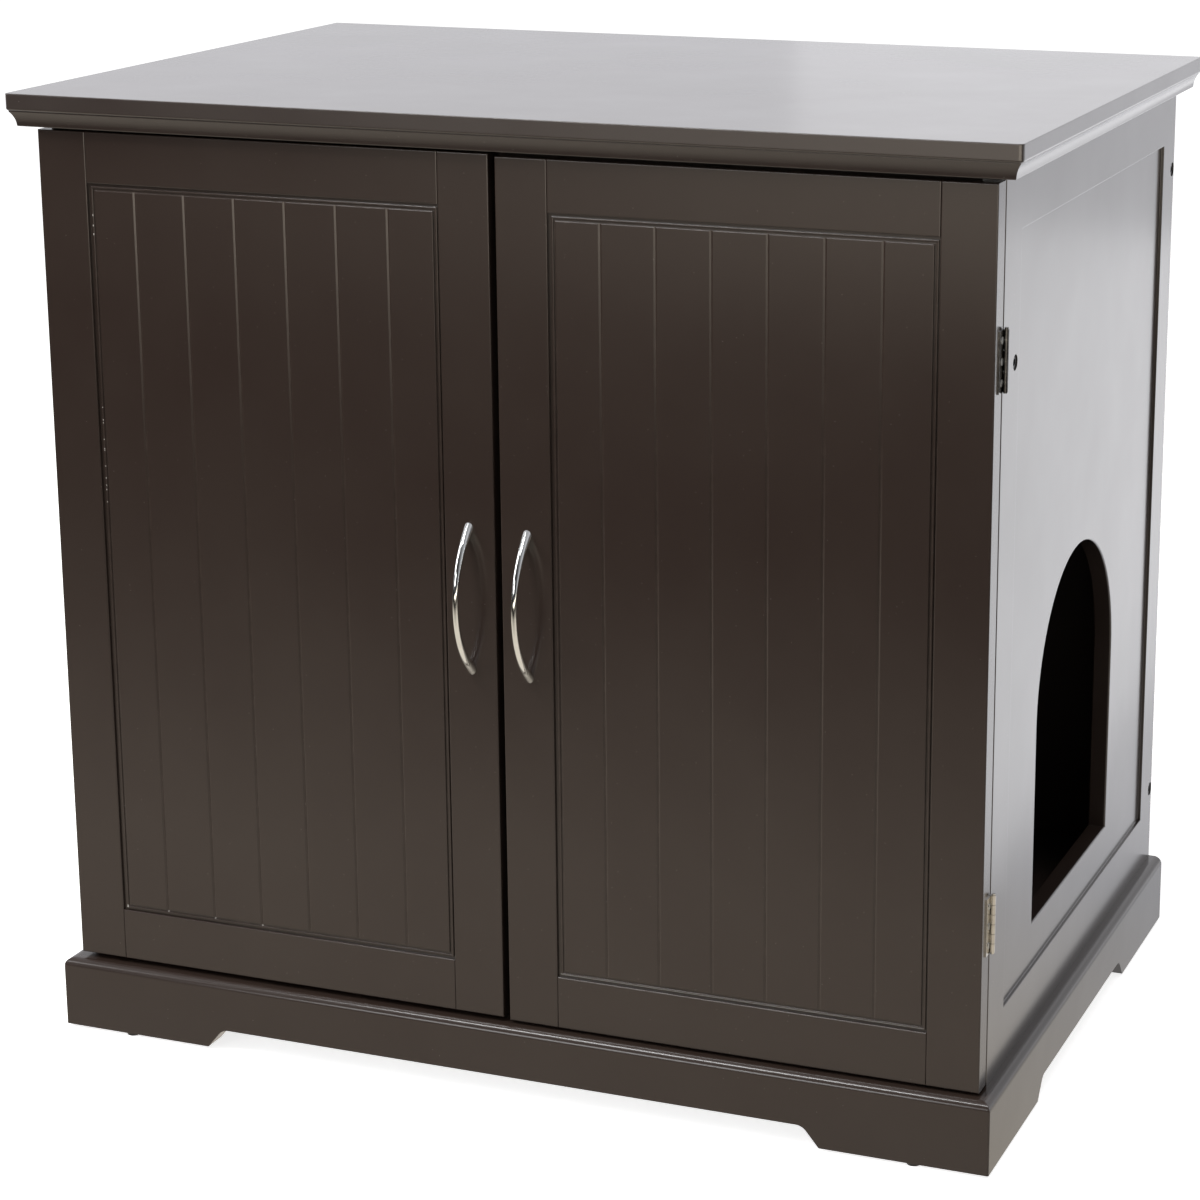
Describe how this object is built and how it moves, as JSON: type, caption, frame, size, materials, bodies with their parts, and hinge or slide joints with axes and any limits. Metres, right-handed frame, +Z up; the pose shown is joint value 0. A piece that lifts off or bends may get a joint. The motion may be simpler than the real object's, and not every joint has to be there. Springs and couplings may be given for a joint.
{
  "type": "cat litter box cabinet",
  "caption": "Wooden cabinet that hides a cat litter tray: hinged doors with bow handles in front, an arched cat entrance in the side, a moulded top and a footed plinth",
  "frame": {"origin": "centre of the bounding box's footprint, on the surface that the glides stand on", "axes": "+Z up; the doors face -Y; X runs along the front, with the cat entrance in the +X side"},
  "size_m": [0.6884, 0.4856, 0.6572],
  "materials": {
    "lacquered_wood": "satin espresso lacquer",
    "inside_lacquer": "matt espresso lacquer",
    "raw_wood": "bare softwood",
    "chrome": "polished",
    "nickel": "bright nickel plate",
    "zinc_steel": "zinc plated",
    "black_steel": "black",
    "black_plastic": "moulded",
    "magnet": "sintered magnet",
    "nylon": "moulded",
    "felt_dot": "soft pad"
  },
  "bodies": {
    "cabinet": {"top_panel": "lacquered_wood", "top_moulding_front": "lacquered_wood", "top_moulding_left": "lacquered_wood", "top_moulding_right": "lacquered_wood", "left_side_panel": "lacquered_wood", "right_side_panel": "lacquered_wood", "back_panel": "inside_lacquer", "floor_panel": "inside_lacquer", "front_rail": "inside_lacquer", "rear_rail": "inside_lacquer", "plinth_front": "lacquered_wood", "plinth_left": "lacquered_wood", "plinth_right": "lacquered_wood", "plinth_rear": "lacquered_wood", "floor_cleat": "raw_wood", "plinth_corner_blocks": "raw_wood", "foot_glides": "nylon", "left_side_screws": "black_steel", "right_side_screws": "black_steel", "rail_dowels": "raw_wood", "top_screws": "zinc_steel", "catch_housings": "black_plastic", "catch_magnets": "magnet", "catch_screws": "zinc_steel", "door_bumpers": "felt_dot", "left_upper_hinge_cabinet_leaf": "nickel", "left_upper_hinge_pin": "nickel", "left_lower_hinge_cabinet_leaf": "nickel", "left_lower_hinge_pin": "nickel", "left_cabinet_hinge_screws": "zinc_steel", "right_upper_hinge_cabinet_leaf": "nickel", "right_upper_hinge_pin": "nickel", "right_lower_hinge_cabinet_leaf": "nickel", "right_lower_hinge_pin": "nickel", "right_cabinet_hinge_screws": "zinc_steel"},
    "left_door": {"left_door_outer_stile": "lacquered_wood", "left_door_inner_stile": "lacquered_wood", "left_door_top_rail": "lacquered_wood", "left_door_bottom_rail": "lacquered_wood", "left_door_panel": "lacquered_wood", "left_door_handle": "chrome", "left_door_handle_screws": "zinc_steel", "left_door_strike_plate": "zinc_steel", "left_door_strike_screw": "zinc_steel", "left_door_hinge_screws": "zinc_steel", "left_upper_hinge_door_leaf": "nickel", "left_lower_hinge_door_leaf": "nickel"},
    "right_door": {"right_door_outer_stile": "lacquered_wood", "right_door_inner_stile": "lacquered_wood", "right_door_top_rail": "lacquered_wood", "right_door_bottom_rail": "lacquered_wood", "right_door_panel": "lacquered_wood", "right_door_handle": "chrome", "right_door_handle_screws": "zinc_steel", "right_door_strike_plate": "zinc_steel", "right_door_strike_screw": "zinc_steel", "right_door_hinge_screws": "zinc_steel", "right_upper_hinge_door_leaf": "nickel", "right_lower_hinge_door_leaf": "nickel"}
  },
  "joints": [
    {"name": "left_door_hinge", "type": "hinge", "parent": "cabinet", "child": "left_door", "pos_m": [-0.3291, -0.20275, 0.3432], "axis": [0, 0, -1], "range_deg": [0, 190]},
    {"name": "right_door_hinge", "type": "hinge", "parent": "cabinet", "child": "right_door", "pos_m": [0.3291, -0.20275, 0.3432], "axis": [0, 0, 1], "range_deg": [0, 190]}
  ]
}
